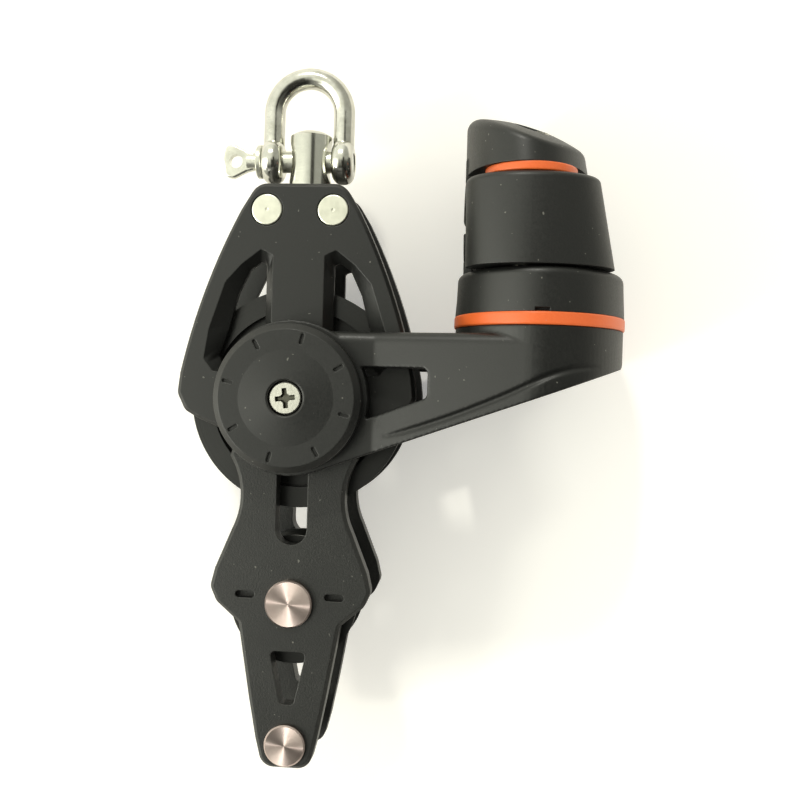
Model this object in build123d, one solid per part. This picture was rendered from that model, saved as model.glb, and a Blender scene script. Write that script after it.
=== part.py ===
from build123d import *
import os
from math import acos, asin, atan2, cos, hypot, radians, sin, tan

# Fiddle block with a swivel shackle head, a becket and a cam cleat on an arm. Millimetres.
# The origin is on the main sheave's axle, at the middle of the block's thickness. +Z runs up to
# the shackle, +X out to the cleat, and Y is the axle. Front and rear are mirror images in Y.
# "Depth" below is the distance from the middle plane, toward the front unless mirrored.

# Driving dimensions
SHEAVE_R = 30.0             # main sheave
SMALL_SHEAVE_R = 17.6
SHEAVE_HALF = 8.0           # half width of both sheaves
CHEEK_IN = 9.0              # depth of the side plates' inner and outer faces
CHEEK_OUT = 14.0
CHAMFER = 0.9               # bevel round the side plates
SMALL_SHEAVE_Z = -55.3
BECKET_Z = -93.4
AXLE_R = 6.0
PIN_R = 3.0                 # lobe pin, becket pin and shackle pin
RUN_GAP = 0.05              # radial play of the parts that turn

LAP_R = 19.0                # round half lap of head cheek and fiddle plate at the hub
LAP_DEPTH = 11.5
BOSS_R = 12.0               # boss on the fiddle plate that carries the cleat arm
BOSS_OUT = 20.3
ARM_RING_R = 20.5
ARM_IN = 14.3               # depth of the arm's legs
ARM_OUT = 20.5
CAP_IN = 20.6               # depth of the hub cap
CAP_RIM = 24.8
CAP_FACE = 26.3

HEAD_TOP_Z = 57.8
SHACKLE_PIN_Z = 66.4
CROWN_CENTRE_Z = 79.95
BOW_WIRE_R = 2.95
BOW_HALF = 9.9              # half the distance between the bow's legs
RIVET_X, RIVET_Z = 9.0, 50.6

OVAL_X = 64.9               # centre of the cleat's oval deck
OVAL_A, OVAL_B = 23.2, 30.0  # half length along X and half width along Y of the base ring
CAM_X, CAM_Y = 61.4, 15.0   # cam pivots
CAM_SWEEP_R = 17.0          # reach of the cams toward the rope guide
LEG_TOP_Z = 18.0
DECK_Z = 20.2
RING_TOP_Z = 23.5
BASE_TOP_Z = 35.0
CAM_BOTTOM_Z, CAM_TOP_Z = 35.5, 59.0
DISC_BOTTOM_Z, DISC_TOP_Z = 59.2, 61.4
GUIDE_X = 44.0              # left face of the rope guide
GUIDE_Z = 49.0              # centre of its hole
GUIDE_HOLE_R = 8.0
SPLIT_LOW, SPLIT_HIGH = 45.2, 47.5  # gap between the guide's halves
SCREW_HEAD_Z = 67.5         # seat of the cleat screws' heads in the cap


def polygon(*points):
    return make_face(Polyline(*points, close=True))


def mirrored_face(*edges):
    """Face bounded by the given edges and their mirror images in the sketch's x."""
    half = Curve() + list(edges)
    return make_face(half + mirror(half, about=Plane.YZ))


def rounded(face, radius, *corners):
    """Round the face's corners at the given points and at their mirror images."""
    picked = [v for v in face.vertices()
              if any(hypot(abs(v.X) - x, v.Y - z) < 0.01 for x, z in corners)]
    return fillet(picked, radius)


def slab(face, near, far):
    """Solid between two depths, from a face drawn in front view: X right, Z up."""
    return extrude(Plane.XZ.offset(near) * face, far - near)


def disc(radius, near, far, x=0.0, z=0.0):
    return slab(Pos(x, z) * Circle(radius), near, far)


def upright(radius, low, high, x=0.0, y=0.0):
    """Round bar along Z."""
    return Pos(x, y, low) * extrude(Circle(radius), high - low)


def cross_bar(radius, left, right, z):
    """Round bar along X."""
    return Pos(left, 0, z) * Rot(0, 90, 0) * extrude(Circle(radius), right - left)


def rear(shape):
    return mirror(shape, about=Plane.XZ)


def bevelled(body, depth, size, where=lambda edge: True):
    """Chamfer the outline of the face that lies at a depth."""
    faces = body.faces().filter_by(Axis.Y).sort_by(Axis.Y)
    front = [f for f in faces if abs(f.center().Y + depth) < 0.001]
    edges = [e for f in front for e in f.outer_wire().edges() if where(e)]
    return chamfer(edges, size)


# --- swivel shackle -------------------------------------------------------------------------

EAR_R = 6.2
EAR_IN, EAR_OUT = 6.9, 12.9
SHACKLE_X = -0.7            # the bow sits to one side of its play on the post


def shackle_bow():
    path = Line((-BOW_HALF, 0, SHACKLE_PIN_Z), (-BOW_HALF, 0, CROWN_CENTRE_Z))
    path += ThreePointArc((-BOW_HALF, 0, CROWN_CENTRE_Z), (0, 0, CROWN_CENTRE_Z + BOW_HALF),
                          (BOW_HALF, 0, CROWN_CENTRE_Z))
    path += Line((BOW_HALF, 0, CROWN_CENTRE_Z), (BOW_HALF, 0, SHACKLE_PIN_Z))
    bow = sweep(Pos(-BOW_HALF, 0, SHACKLE_PIN_Z) * Circle(BOW_WIRE_R), path)
    for side in (-1, 1):
        left, right = sorted((side * EAR_IN, side * EAR_OUT))
        ear = cross_bar(EAR_R, left, right, SHACKLE_PIN_Z)
        bow += fillet(ear.edges().filter_by(GeomType.CIRCLE), 2.6)
    bow -= cross_bar(PIN_R + RUN_GAP, -20, EAR_IN, SHACKLE_PIN_Z)
    return Pos(SHACKLE_X, 0, 0) * (bow - cross_bar(PIN_R - 0.35, 0, 20, SHACKLE_PIN_Z))


TAB_HOLE_R = 1.9


def shackle_pin():
    """Captive-style screw pin: threaded tip, shaft, collar and a drilled thumb tab."""
    z = SHACKLE_PIN_Z
    pin = cross_bar(PIN_R, -EAR_OUT, EAR_IN, z)
    pin += cross_bar(PIN_R - 0.4, EAR_IN, EAR_OUT - 0.3, z)
    collar = cross_bar(4.65, -EAR_OUT - 1.5, -EAR_OUT, z)
    pin += chamfer(collar.edges().filter_by(GeomType.CIRCLE), 0.3)
    pin += cross_bar(2.3, -17.4, -EAR_OUT - 1.0, z)
    tab = polygon((-15.4, z - 2.3), (-17.4, z - 2.8), (-21.2, z - 4.7), (-23.6, z - 4.4),
                  (-24.3, z), (-23.6, z + 4.4), (-21.2, z + 4.7), (-17.4, z + 2.8), (-15.4, z + 2.3))
    tab = slab(fillet([v for v in tab.vertices() if v.X < -20 and abs(v.Y - z) > 1], 1.6), -1.2, 1.2)
    pin += fillet(tab.edges().filter_by(Axis.Y, reverse=True), 0.5)
    return Pos(SHACKLE_X, 0, 0) * (pin - disc(TAB_HOLE_R, -3, 3, -20.6, z))


def swivel_post():
    """Turned post: a domed and waisted eye for the shackle pin, a shank and a threaded end."""
    eye_r, top, rim_z, waist, waist_r = 5.9, 75.0, 73.3, 4.6, 15.0
    z, low = SHACKLE_PIN_Z, HEAD_TOP_Z + 0.2
    edge = Polyline((0, top), (0, low), (eye_r, low), (eye_r, rim_z))
    edge += ThreePointArc((eye_r, rim_z), (4.0, 74.45), (1.5, top)) + Line((1.5, top), (0, top))
    eye = revolve(Plane.XZ * make_face(edge), Axis.Z)
    for side in (-1, 1):
        eye -= slab(Pos(side * (waist + waist_r), z) * Circle(waist_r), -10, 10)
    eye -= cross_bar(PIN_R + RUN_GAP, -10, 10, z)
    return eye + upright(5.2, 43.2, HEAD_TOP_Z + 0.2) + upright(4.0, 37.6, 43.2)


def swivel_nut():
    nut = Pos(0, 0, 38.4) * extrude(RegularPolygon(7.5, 6), 4.4)
    return nut - upright(4.0, 38, 44)


# --- side plates ----------------------------------------------------------------------------

def head_outline():
    shoulder, corner = (16.2, 50.6), (11.8, HEAD_TOP_Z)
    hip = (32.0, 6.0)
    face = mirrored_face(
        Polyline((0, HEAD_TOP_Z), corner, shoulder),
        ThreePointArc(shoulder, (27.1, 24.4), hip),
        Polyline(hip, (32.6, 0.6), (30.4, -4.0), (26.6, -6.2), (12.0, -12.0), (0, -12.0)))
    return rounded(rounded(face, 5.0, corner), 3.0, hip, (32.6, 0.6), (30.4, -4.0))


def head_window(side):
    """Triangular window beside the centre strap, its mouth flared toward the front."""
    mouth = [(7.0, 16.0), (7.0, 38.4), (10.2, 40.0), (15.6, 35.8), (19.9, 31.0), (24.2, 18.0),
             (25.4, 10.0), (22.8, 6.7), (17.0, 6.0)]
    throat = [(9.3, 16.0), (9.3, 36.2), (10.9, 36.8), (13.9, 34.6), (17.0, 28.0), (19.6, 18.0),
              (22.0, 11.0), (20.6, 8.4), (17.0, 8.0)]
    flare_depth = 10.6
    faces = []
    for points, depth in ((mouth, CHEEK_OUT + 0.01), (throat, flare_depth)):
        face = polygon(*[(side * x, z) for x, z in points])
        face = fillet([v for v in face.vertices() if abs(v.X) > 7.5 and v.Y > 9.0], 0.9)
        faces.append(Plane.XZ.offset(depth) * face)
    flare = loft(faces, ruled=True)
    return flare + extrude(faces[1], -(flare_depth - CHEEK_IN + 1))


def head_cheek():
    cheek = slab(head_outline(), CHEEK_IN, CHEEK_OUT)
    cheek = bevelled(cheek, CHEEK_OUT, CHAMFER)
    cheek -= disc(LAP_R, LAP_DEPTH, CHEEK_OUT + 1)
    cheek += disc(LAP_R, CHEEK_IN, LAP_DEPTH)
    for side in (-1, 1):
        cheek -= head_window(side) - disc(LAP_R, 0, LAP_DEPTH)
        cheek -= disc(2.3, 0, 20, side * RIVET_X, RIVET_Z)
        cheek -= disc(4.4, CHEEK_OUT - 1.3, 20, side * RIVET_X, RIVET_Z)
    return cheek - disc(AXLE_R, 0, 20)


def fiddle_outline():
    shoulder, waist_end = (17.4, -16.0), (16.3, -35.6)
    lobe, neck, foot = (20.8, -46.6), (13.9, -61.0), (6.4, -99.8)
    face = mirrored_face(
        Polyline((0, -11.0), (15.8, -11.0), shoulder),
        ThreePointArc(shoulder, (14.4, -29.0), waist_end),
        Polyline(waist_end, lobe, (22.0, -51.6), (20.2, -55.6), neck, (13.4, -64.0),
                 (10.5, -81.0), (8.4, -92.0), foot, (0, -99.8)))
    face = rounded(face, 3.0, lobe, (22.0, -51.6), (20.2, -55.6))
    return rounded(rounded(face, 1.6, neck), 4.0, foot, waist_end)


def fiddle_plate():
    """Lower side plate with its boss for the cleat arm, line slot, drain window and pin seats."""
    plate = slab(fiddle_outline(), CHEEK_IN, CHEEK_OUT)
    plate = bevelled(plate, CHEEK_OUT, CHAMFER, lambda e: e.center().Z < -12)
    plate -= disc(LAP_R, 0, LAP_DEPTH)
    plate += disc(LAP_R, LAP_DEPTH, CHEEK_OUT) + disc(BOSS_R, CHEEK_OUT, BOSS_OUT)
    slot_half, slot_low = 4.25, -35.3
    slot = Pos(0, (slot_low - 20.0) / 2) * Rectangle(2 * slot_half, -20.0 - slot_low)
    plate -= slab(slot + Pos(0, slot_low) * Circle(slot_half), 0, 20)
    drain = rounded(polygon((-5.0, -68.3), (5.0, -68.3), (1.9, -82.6), (-1.9, -82.6)), 1.3,
                    (5.0, -68.3), (1.9, -82.6))
    plate -= slab(drain, 0, 20)
    for side in (-1, 1):
        plate -= slab(Pos(side * 12.2, -53.3) * SlotOverall(5.3, 1.9), CHEEK_OUT - 2.0, 20)
    for z in (SMALL_SHEAVE_Z, BECKET_Z):
        plate -= disc(PIN_R, 0, 20, 0, z)
    return plate - disc(AXLE_R, 0, 30)


def swivel_socket():
    """Block between the cheeks that carries the swivel post."""
    z_low, z_high = 44.0, 57.2
    face = polygon((-14.0, z_low), (14.0, z_low), (14.0, 51.0), (10.6, z_high),
                   (-10.6, z_high), (-14.0, 51.0))
    block = slab(rounded(face, 1.5, (14.0, z_low), (10.6, z_high)), -CHEEK_IN, CHEEK_IN)
    block -= upright(5.2 + 2 * RUN_GAP, 40, 60)
    for side in (-1, 1):
        block -= disc(2.3, -20, 20, side * RIVET_X, RIVET_Z)
    return block


def swivel_thrust_washer():
    return upright(7.8, 42.9, 44.0) - upright(5.2 + 2 * RUN_GAP, 40, 60)


def head_rivets():
    rivets = []
    for side in (-1, 1):
        rivet = disc(2.3, -CHEEK_OUT, CHEEK_OUT, side * RIVET_X, RIVET_Z)
        for near, far in ((CHEEK_OUT - 1.3, CHEEK_OUT + 0.1), (-CHEEK_OUT - 0.1, -CHEEK_OUT + 1.3)):
            rivet += disc(4.2, near, far, side * RIVET_X, RIVET_Z)
        rivets.append(rivet)
    return Compound(children=rivets)


def cross_pin(z, head_r, head_high):
    """Pin through both plates with a turned head at each end."""
    pin = disc(PIN_R, -CHEEK_OUT, CHEEK_OUT, 0, z)
    head = disc(head_r, CHEEK_OUT, CHEEK_OUT + head_high, 0, z)
    head = bevelled(head, CHEEK_OUT + head_high, 0.4)
    return pin + head + rear(head)


def spacer(z, radius):
    return disc(radius, -CHEEK_IN, CHEEK_IN, 0, z) - disc(PIN_R, -20, 20, 0, z)


# --- sheaves and their bearings -------------------------------------------------------------

RACE_R = 10.0
ROLLER_R = 2.0
ROLLER_PITCH_R = RACE_R + ROLLER_R + RUN_GAP
MAIN_BORE_R = ROLLER_PITCH_R + ROLLER_R + RUN_GAP
ROLLER_COUNT = 16
BUSH_R = 4.5


def sheave(radius, groove_depth, bore, hub, web_outer, web_half):
    """Grooved wheel on the Y axis with a thin web between hub and rim."""
    lip, root = 1.2, radius - groove_depth
    knee = root + 0.4 * groove_depth
    half = SHEAVE_HALF
    knee_half = 0.6 * half
    profile = Polyline((knee, knee_half), (radius, half - lip), (radius, half), (web_outer, half),
                       (web_outer, web_half), (hub, web_half), (hub, half), (bore, half),
                       (bore, -half), (hub, -half), (hub, -web_half), (web_outer, -web_half),
                       (web_outer, -half), (radius, -half), (radius, lip - half), (knee, -knee_half))
    groove = ThreePointArc((knee, -knee_half), (root, 0), (knee, knee_half))
    return revolve(make_face(profile + groove), Axis.Y)


def main_sheave():
    return sheave(SHEAVE_R, 6.3, MAIN_BORE_R, 16.6, 24.4, 5.2)


def small_sheave():
    wheel = sheave(SMALL_SHEAVE_R, 5.2, BUSH_R + RUN_GAP, 7.6, 13.4, 5.2)
    return Pos(0, 0, SMALL_SHEAVE_Z) * wheel


def main_rollers():
    rollers = []
    for k in range(ROLLER_COUNT):
        angle = radians(360 / ROLLER_COUNT * k)
        x, z = ROLLER_PITCH_R * cos(angle), ROLLER_PITCH_R * sin(angle)
        rollers.append(disc(ROLLER_R, -7.0, 7.0, x, z))
    return Compound(children=rollers)


def main_race():
    return disc(RACE_R, -CHEEK_IN, CHEEK_IN) - disc(AXLE_R, -20, 20)


SCREW_R = 2.5
SCREW_SEAT = 24.0
SCREW_REACH = 12.0


def main_axle():
    axle = disc(AXLE_R, -CAP_IN, CAP_IN)
    for near, far in ((SCREW_REACH - 1, 30), (-30, 1 - SCREW_REACH)):
        axle -= disc(SCREW_R, near, far)
    return axle


# --- hub caps -------------------------------------------------------------------------------

def hub_cap():
    """Turned cap over the arm's ring, with eight radial marks and a countersunk middle."""
    rim_r, face_r, dish_r, bore_r = 19.4, 17.8, 12.5, 4.6
    profile = Polyline((SCREW_R, CAP_IN), (rim_r, CAP_IN), (rim_r, CAP_RIM), (face_r, CAP_FACE),
                       (dish_r, CAP_FACE), (bore_r + 0.4, CAP_FACE + 0.7), (bore_r, CAP_FACE + 0.4),
                       (bore_r, SCREW_SEAT), (SCREW_R, SCREW_SEAT), close=True)
    cap = rear(revolve(make_face(profile), Axis.Y))
    for k in range(8):
        mark = Rot(0, 0, 30.7 + 45 * k) * Pos(15.8, 0) * SlotOverall(2.9, 1.0)
        cap -= slab(mark, CAP_FACE - 0.7, CAP_FACE + 1)
    return cap


def hub_screw():
    top = CAP_FACE + 0.4
    screw = bevelled(disc(4.2, SCREW_SEAT, top), top, 0.3)
    screw += disc(SCREW_R, SCREW_REACH, SCREW_SEAT)
    cross = Rectangle(5.2, 1.3) + Rectangle(1.3, 5.2) + Rot(0, 0, 45) * Rectangle(2.6, 2.6)
    recess = extrude(Plane.XZ.offset(top) * Rot(0, 0, 7) * cross, -1.6, taper=12)
    return screw - recess


# --- cleat arm ------------------------------------------------------------------------------

ARM_A, ARM_B = OVAL_A - 0.4, OVAL_B - 0.7   # half axes of the arm's oval end
ARM_FLARE_X = 22.0                          # where the legs start to spread
TIP_X, TIP_Z = OVAL_X + ARM_A, 10.4         # lower corner of the oval end
GAP_END_X = 42.0                            # end of the gap between the legs
# The underside is a plane from that corner, tangent to the ring.
UNDER_ANGLE = atan2(TIP_Z, TIP_X) + asin(ARM_RING_R / hypot(TIP_X, TIP_Z))


def underside_z(x):
    return TIP_Z + tan(UNDER_ANGLE) * (x - TIP_X)


def arm_plan(inset=0.0):
    """Plan of the arm: parallel legs that spread to meet the oval end on its tangents."""
    a, b, leg_y = ARM_A - inset, ARM_B - inset, ARM_OUT - inset
    u = (ARM_FLARE_X - OVAL_X) / a
    v = leg_y / b
    touch = atan2(v, u) - acos(1 / hypot(u, v))
    touch_x, touch_y = OVAL_X + a * cos(touch), b * sin(touch)
    legs = polygon((-25, -leg_y), (ARM_FLARE_X, -leg_y), (touch_x, -touch_y),
                   (touch_x, touch_y), (ARM_FLARE_X, leg_y), (-25, leg_y))
    return legs + Pos(OVAL_X, 0) * Ellipse(a, b)


def leg_band():
    """Side view of the shallow band along the underside's edge."""
    height, end_x = 3.8, 73.0
    return polygon((24.0, underside_z(24.0) - 5), (24.0, underside_z(24.0) + height),
                   (end_x, underside_z(end_x) + height), (end_x + 6, underside_z(end_x) + height),
                   (end_x + 7, underside_z(end_x) - 5))


def leg_window():
    top, right = 8.7, 36.3
    face = rounded(polygon((15, top), (right, top), (right, 1.0), (15, -6.8)), 1.6,
                   (right, top), (right, 1.0))
    return face - Circle(ARM_RING_R + 0.6)


def arm_pockets():
    """Cored-out pockets in the underside of the oval end, between ribs."""
    floor_z = 16.4
    pockets = [(50.5, 0, 9, 14), (63.0, 0, 10, 14), (76.0, 0, 10, 14),
               (75.0, 15.5, 9, 12), (75.0, -15.5, 9, 12), (50.0, 17.0, 7, 12), (50.0, -17.0, 7, 12)]
    cores = Part()
    for x, y, length, width in pockets:
        core = fillet(Rectangle(length, width).vertices(), 2.0)
        cores += Pos(x, y, -20) * extrude(core, floor_z + 20)
    for y in (-CAM_Y, CAM_Y):
        cores += upright(5.6, -20, floor_z, CAM_X, y)
    return cores


def cleat_arm():
    """Fork that straddles the block: a ring on each hub boss, two legs and an oval deck."""
    plan = arm_plan()
    touch_x = ARM_RING_R * sin(UNDER_ANGLE)
    side = Circle(ARM_RING_R) + polygon(
        (9.0, LEG_TOP_Z), (90, LEG_TOP_Z), (90, underside_z(90)), (touch_x, underside_z(touch_x)))
    arm = Pos(0, 0, -25) * extrude(plan, 50) & slab(side, -31, 31)
    shoulder = [e for e in arm.edges().filter_by(Axis.Z, reverse=True)
                if abs(e.center().Z - LEG_TOP_Z) < 0.01 and e.length > 30 and abs(e.center().Y) > 20]
    arm = chamfer(shoulder, 1.6)
    step = extrude(plan - arm_plan(inset=0.9), 50)
    arm -= (Pos(0, 0, -25) * step) & slab(leg_band(), -31, 31)
    arm += Pos(OVAL_X, 0, LEG_TOP_Z - 1) * extrude(Ellipse(ARM_A, ARM_B), DECK_Z - LEG_TOP_Z + 1)
    arm -= Pos(GAP_END_X - 40, 0, 0) * Box(80, 2 * ARM_IN, 80)
    arm -= disc(BOSS_R + 0.3, -40, 40)
    arm -= slab(leg_window(), -40, 40)
    arm -= arm_pockets()
    for y in (-CAM_Y, CAM_Y):
        arm -= upright(SCREW_R, 0, 30, CAM_X, y)
    return arm


def oval_plate(low, high, grow_low, grow_high):
    """Oval prism whose outline is smaller than the base ring's by the given amounts."""
    sections = [Pos(OVAL_X, 0, z) * Ellipse(OVAL_A - grow, OVAL_B - grow)
                for z, grow in ((low, grow_low), (high, grow_high))]
    return loft(sections)


def drilled(body, radius=SCREW_R):
    for y in (-CAM_Y, CAM_Y):
        body -= upright(radius, 0, 90, CAM_X, y)
    return body


def cleat_base_ring():
    ring = oval_plate(DECK_Z, RING_TOP_Z, 0.0, 0.0)
    return drilled(fillet(ring.edges().filter_by(Plane.XY), 0.5))


def guide_half(low, high):
    """Half of the split rope guide ring, between two heights, relieved where the cams sweep past."""
    ring = Plane.YZ.offset(GUIDE_X) * Pos(0, GUIDE_Z) * (Circle(13.0) - Circle(GUIDE_HOLE_R))
    ring = extrude(ring, 2.2)
    ring = chamfer(ring.edges().filter_by(GeomType.CIRCLE), 0.6)
    half = ring & Pos(GUIDE_X, 0, (low + high) / 2) * Box(10, 40, high - low)
    ends = [e for e in half.edges().filter_by(Axis.Y) if abs(e.center().X - GUIDE_X) < 0.01]
    half = fillet(ends, 0.7)
    for y in (-CAM_Y, CAM_Y):
        half -= upright(CAM_SWEEP_R + 0.4, CAM_BOTTOM_Z - 0.4, CAM_TOP_Z + 0.4, CAM_X, y)
    return half


def cleat_base():
    base = oval_plate(RING_TOP_Z, BASE_TOP_Z, 0.2, 0.8)
    base = fillet(base.edges().filter_by(Plane.XY).sort_by(Axis.Z)[-1], 2.0)
    base -= Pos(64.8, -OVAL_B, RING_TOP_Z + 0.5) * Box(3.8, 4.0, 1.0)
    foot = Pos(GUIDE_X + 1.1, 0, BASE_TOP_Z - 1.0) * Box(2.2, 14.0, 8.0)
    return drilled(base + foot + guide_half(GUIDE_Z - 13, SPLIT_LOW))


def cam_bushes():
    bush = upright(5.0, BASE_TOP_Z, DISC_BOTTOM_Z) - upright(SCREW_R, 0, 90)
    return Compound(children=[Pos(CAM_X, y, 0) * bush for y in (-CAM_Y, CAM_Y)])


def cam_top_discs():
    top = upright(12.0, DISC_BOTTOM_Z, DISC_TOP_Z)
    top = fillet(top.edges().filter_by(GeomType.CIRCLE), 0.4) - upright(SCREW_R, 0, 90)
    return Compound(children=[Pos(CAM_X, y, 0) * top for y in (-CAM_Y, CAM_Y)])


# --- cams -----------------------------------------------------------------------------------

BITE_ANGLE = 87.0           # direction of the cam's tip from its pivot
BITE_R = 14.3
BITE_DROP = 4.8             # how much nearer its pivot the spiral ends
TOOTH_DEPTH = 1.1
TOOTH_COUNT = 7
TOOTH_STEP = 6.4


def quarter_outline(left, right, near, inner):
    """Closed oval from four quarter ellipses, round the cam's pivot."""
    quarters = ((right, inner, 0), (left, inner, 90), (left, near, 180), (right, near, 270))
    edges = [EllipticalCenterArc((0, 0), a, b, start, arc_size=90) for a, b, start in quarters]
    return make_face(Curve() + edges)


def bite_cutter():
    """Everything outside the toothed spiral that closes on the rope."""
    points = []
    for k in range(TOOTH_COUNT):
        for part, drop in ((0.0, 0.0), (0.3, TOOTH_DEPTH)):
            angle = radians(BITE_ANGLE + TOOTH_STEP * (k + part))
            radius = BITE_R - BITE_DROP * (k + part) / TOOTH_COUNT - drop
            points.append((radius * cos(angle), radius * sin(angle)))
    for angle, radius in ((137, 10.4), (152, 11.4), (167, 13.2), (182, 17.8)):
        points.append((radius * cos(radians(angle)), radius * sin(radians(angle))))
    return polygon(*points, (-24, -3), (-24, 24), (1.6, 24))


def cam():
    """Front cam, seen from above: smooth outside, toothed spiral toward the middle plane."""
    bottom = quarter_outline(CAM_SWEEP_R - 0.4, 22.2, 14.4, BITE_R)
    top = quarter_outline(CAM_SWEEP_R, 17.8, 12.8, BITE_R)
    body = loft([Pos(0, 0, CAM_BOTTOM_Z) * bottom, Pos(0, 0, CAM_TOP_Z) * top])
    body = fillet(body.faces().sort_by(Axis.Z)[-1].edges(), 1.6)
    body -= Pos(0, 0, 30) * extrude(bite_cutter(), 40)
    body -= upright(5.0 + RUN_GAP, 30, 70) + upright(7.8, 30, SPRING_TOP_Z)
    return Pos(CAM_X, -CAM_Y, 0) * body


SPRING_R = 6.9
SPRING_WIRE_R = 0.5
SPRING_TURNS = 3
SPRING_BOTTOM_Z = BASE_TOP_Z + 0.8
SPRING_TOP_Z = 43.0


def cam_springs():
    """Torsion springs in the cams' lower recesses."""
    height = 5.4
    coil = Helix(height / SPRING_TURNS, height, SPRING_R)
    wire = sweep(Plane(origin=coil @ 0, z_dir=coil % 0) * Circle(SPRING_WIRE_R), coil)
    front = Pos(CAM_X, -CAM_Y, SPRING_BOTTOM_Z) * wire
    return Compound(children=[front, rear(front)])


# --- cleat cap ------------------------------------------------------------------------------

CAP_X = 60.5
CAP_A, CAP_B = 16.7, 27.0
CAP_TAPER = 2.2             # draft of the cap's front and tail walls over 24 mm of height
DOME_X, DOME_R = 46.0, 52.0 # the domed top falls away toward the tail
CAP_TOP_Z = 77.0


def cleat_cap():
    """Domed saddle over both cams, falling away toward the tail, with the guide's upper half."""
    cap = loft([Pos(CAP_X - inset, 0, z) * Ellipse(CAP_A - inset, CAP_B - 2 * inset)
                for z, inset in ((DISC_TOP_Z, 0.0), (85.0, CAP_TAPER))])
    cap &= Pos(DOME_X, 0, CAP_TOP_Z - DOME_R) * Rot(90, 0, 0) * Sphere(DOME_R)
    upper = [e for e in cap.edges() if e.center().Z > DISC_TOP_Z + 1]
    cap = fillet(max(upper, key=lambda e: e.length), 2.4)
    brow = (GUIDE_X, 65.4)
    neck = polygon((GUIDE_X, 59.5), brow, (GUIDE_X + 1.2, 67.6), (50.0, 67.6), (50.0, 59.5))
    cap += slab(rounded(neck, 1.5, brow), -7.5, 7.5)
    cap += guide_half(SPLIT_HIGH, GUIDE_Z + 13)
    for y in (-CAM_Y, CAM_Y):
        cap -= upright(4.7, SCREW_HEAD_Z, 90, CAM_X, y)
    return drilled(cap)


def cleat_screws():
    screw = upright(SCREW_R, 12.0, SCREW_HEAD_Z) + upright(4.4, SCREW_HEAD_Z, SCREW_HEAD_Z + 3.0)
    screw -= Pos(0, 0, SCREW_HEAD_Z + 1.0) * extrude(RegularPolygon(2.3, 6), 5)
    return Compound(children=[Pos(CAM_X, y, 0) * screw for y in (-CAM_Y, CAM_Y)])


def cleat_nuts():
    nut = Pos(0, 0, 12.4) * extrude(RegularPolygon(4.6, 6), 4.0) - upright(SCREW_R, 0, 30)
    return Compound(children=[Pos(CAM_X, y, 0) * nut for y in (-CAM_Y, CAM_Y)])


# --- everything -----------------------------------------------------------------------------

front_cheek, front_plate, front_cap, front_screw = head_cheek(), fiddle_plate(), hub_cap(), hub_screw()
front_cam = cam()

parts = {
    "shackle_bow": shackle_bow(),
    "shackle_pin": shackle_pin(),
    "swivel_post": swivel_post(),
    "swivel_nut": swivel_nut(),
    "head_cheek_front": front_cheek,
    "head_cheek_rear": rear(front_cheek),
    "fiddle_plate_front": front_plate,
    "fiddle_plate_rear": rear(front_plate),
    "swivel_socket": swivel_socket(),
    "swivel_thrust_washer": swivel_thrust_washer(),
    "head_rivets": head_rivets(),
    "main_axle": main_axle(),
    "main_race": main_race(),
    "main_rollers": main_rollers(),
    "main_sheave": main_sheave(),
    "small_sheave": small_sheave(),
    "lobe_bush": spacer(SMALL_SHEAVE_Z, BUSH_R),
    "lobe_pin": cross_pin(SMALL_SHEAVE_Z, 6.4, 1.6),
    "becket_bush": spacer(BECKET_Z, BUSH_R),
    "becket_pin": cross_pin(BECKET_Z, 5.6, 1.4),
    "hub_cap_front": front_cap,
    "hub_cap_rear": rear(front_cap),
    "hub_screw_front": front_screw,
    "hub_screw_rear": rear(front_screw),
    "cleat_arm": cleat_arm(),
    "cleat_base_ring": cleat_base_ring(),
    "cleat_base": cleat_base(),
    "cam_bushes": cam_bushes(),
    "cam_springs": cam_springs(),
    "cam_front": front_cam,
    "cam_rear": rear(front_cam),
    "cam_top_discs": cam_top_discs(),
    "cleat_cap": cleat_cap(),
    "cleat_screws": cleat_screws(),
    "cleat_nuts": cleat_nuts(),
}

os.makedirs("parts", exist_ok=True)
for name, shape in parts.items():
    export_step(shape, f"parts/{name}.step")
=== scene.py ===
import math

import bmesh
import bpy
from mathutils import Matrix, Vector, geometry


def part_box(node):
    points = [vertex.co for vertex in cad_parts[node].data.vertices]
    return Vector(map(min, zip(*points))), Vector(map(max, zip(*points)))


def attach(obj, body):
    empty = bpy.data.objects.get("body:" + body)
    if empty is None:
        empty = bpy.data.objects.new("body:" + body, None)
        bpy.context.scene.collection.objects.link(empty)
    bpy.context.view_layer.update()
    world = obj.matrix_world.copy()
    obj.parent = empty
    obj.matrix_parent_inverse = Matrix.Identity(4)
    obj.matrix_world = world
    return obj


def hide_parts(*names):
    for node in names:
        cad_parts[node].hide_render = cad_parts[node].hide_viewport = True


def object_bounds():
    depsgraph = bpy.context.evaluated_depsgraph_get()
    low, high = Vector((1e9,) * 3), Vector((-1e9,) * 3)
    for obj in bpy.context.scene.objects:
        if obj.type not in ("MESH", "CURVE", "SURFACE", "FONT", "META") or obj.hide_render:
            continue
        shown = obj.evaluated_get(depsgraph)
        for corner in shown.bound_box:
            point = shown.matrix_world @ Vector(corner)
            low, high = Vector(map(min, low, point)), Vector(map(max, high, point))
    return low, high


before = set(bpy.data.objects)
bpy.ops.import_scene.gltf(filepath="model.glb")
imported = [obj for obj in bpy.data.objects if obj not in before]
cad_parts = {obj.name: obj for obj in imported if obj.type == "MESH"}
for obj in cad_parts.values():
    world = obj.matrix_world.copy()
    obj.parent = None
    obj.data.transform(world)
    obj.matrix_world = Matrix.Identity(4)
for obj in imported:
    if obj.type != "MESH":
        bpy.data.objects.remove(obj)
cad_low, cad_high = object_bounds()


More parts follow.
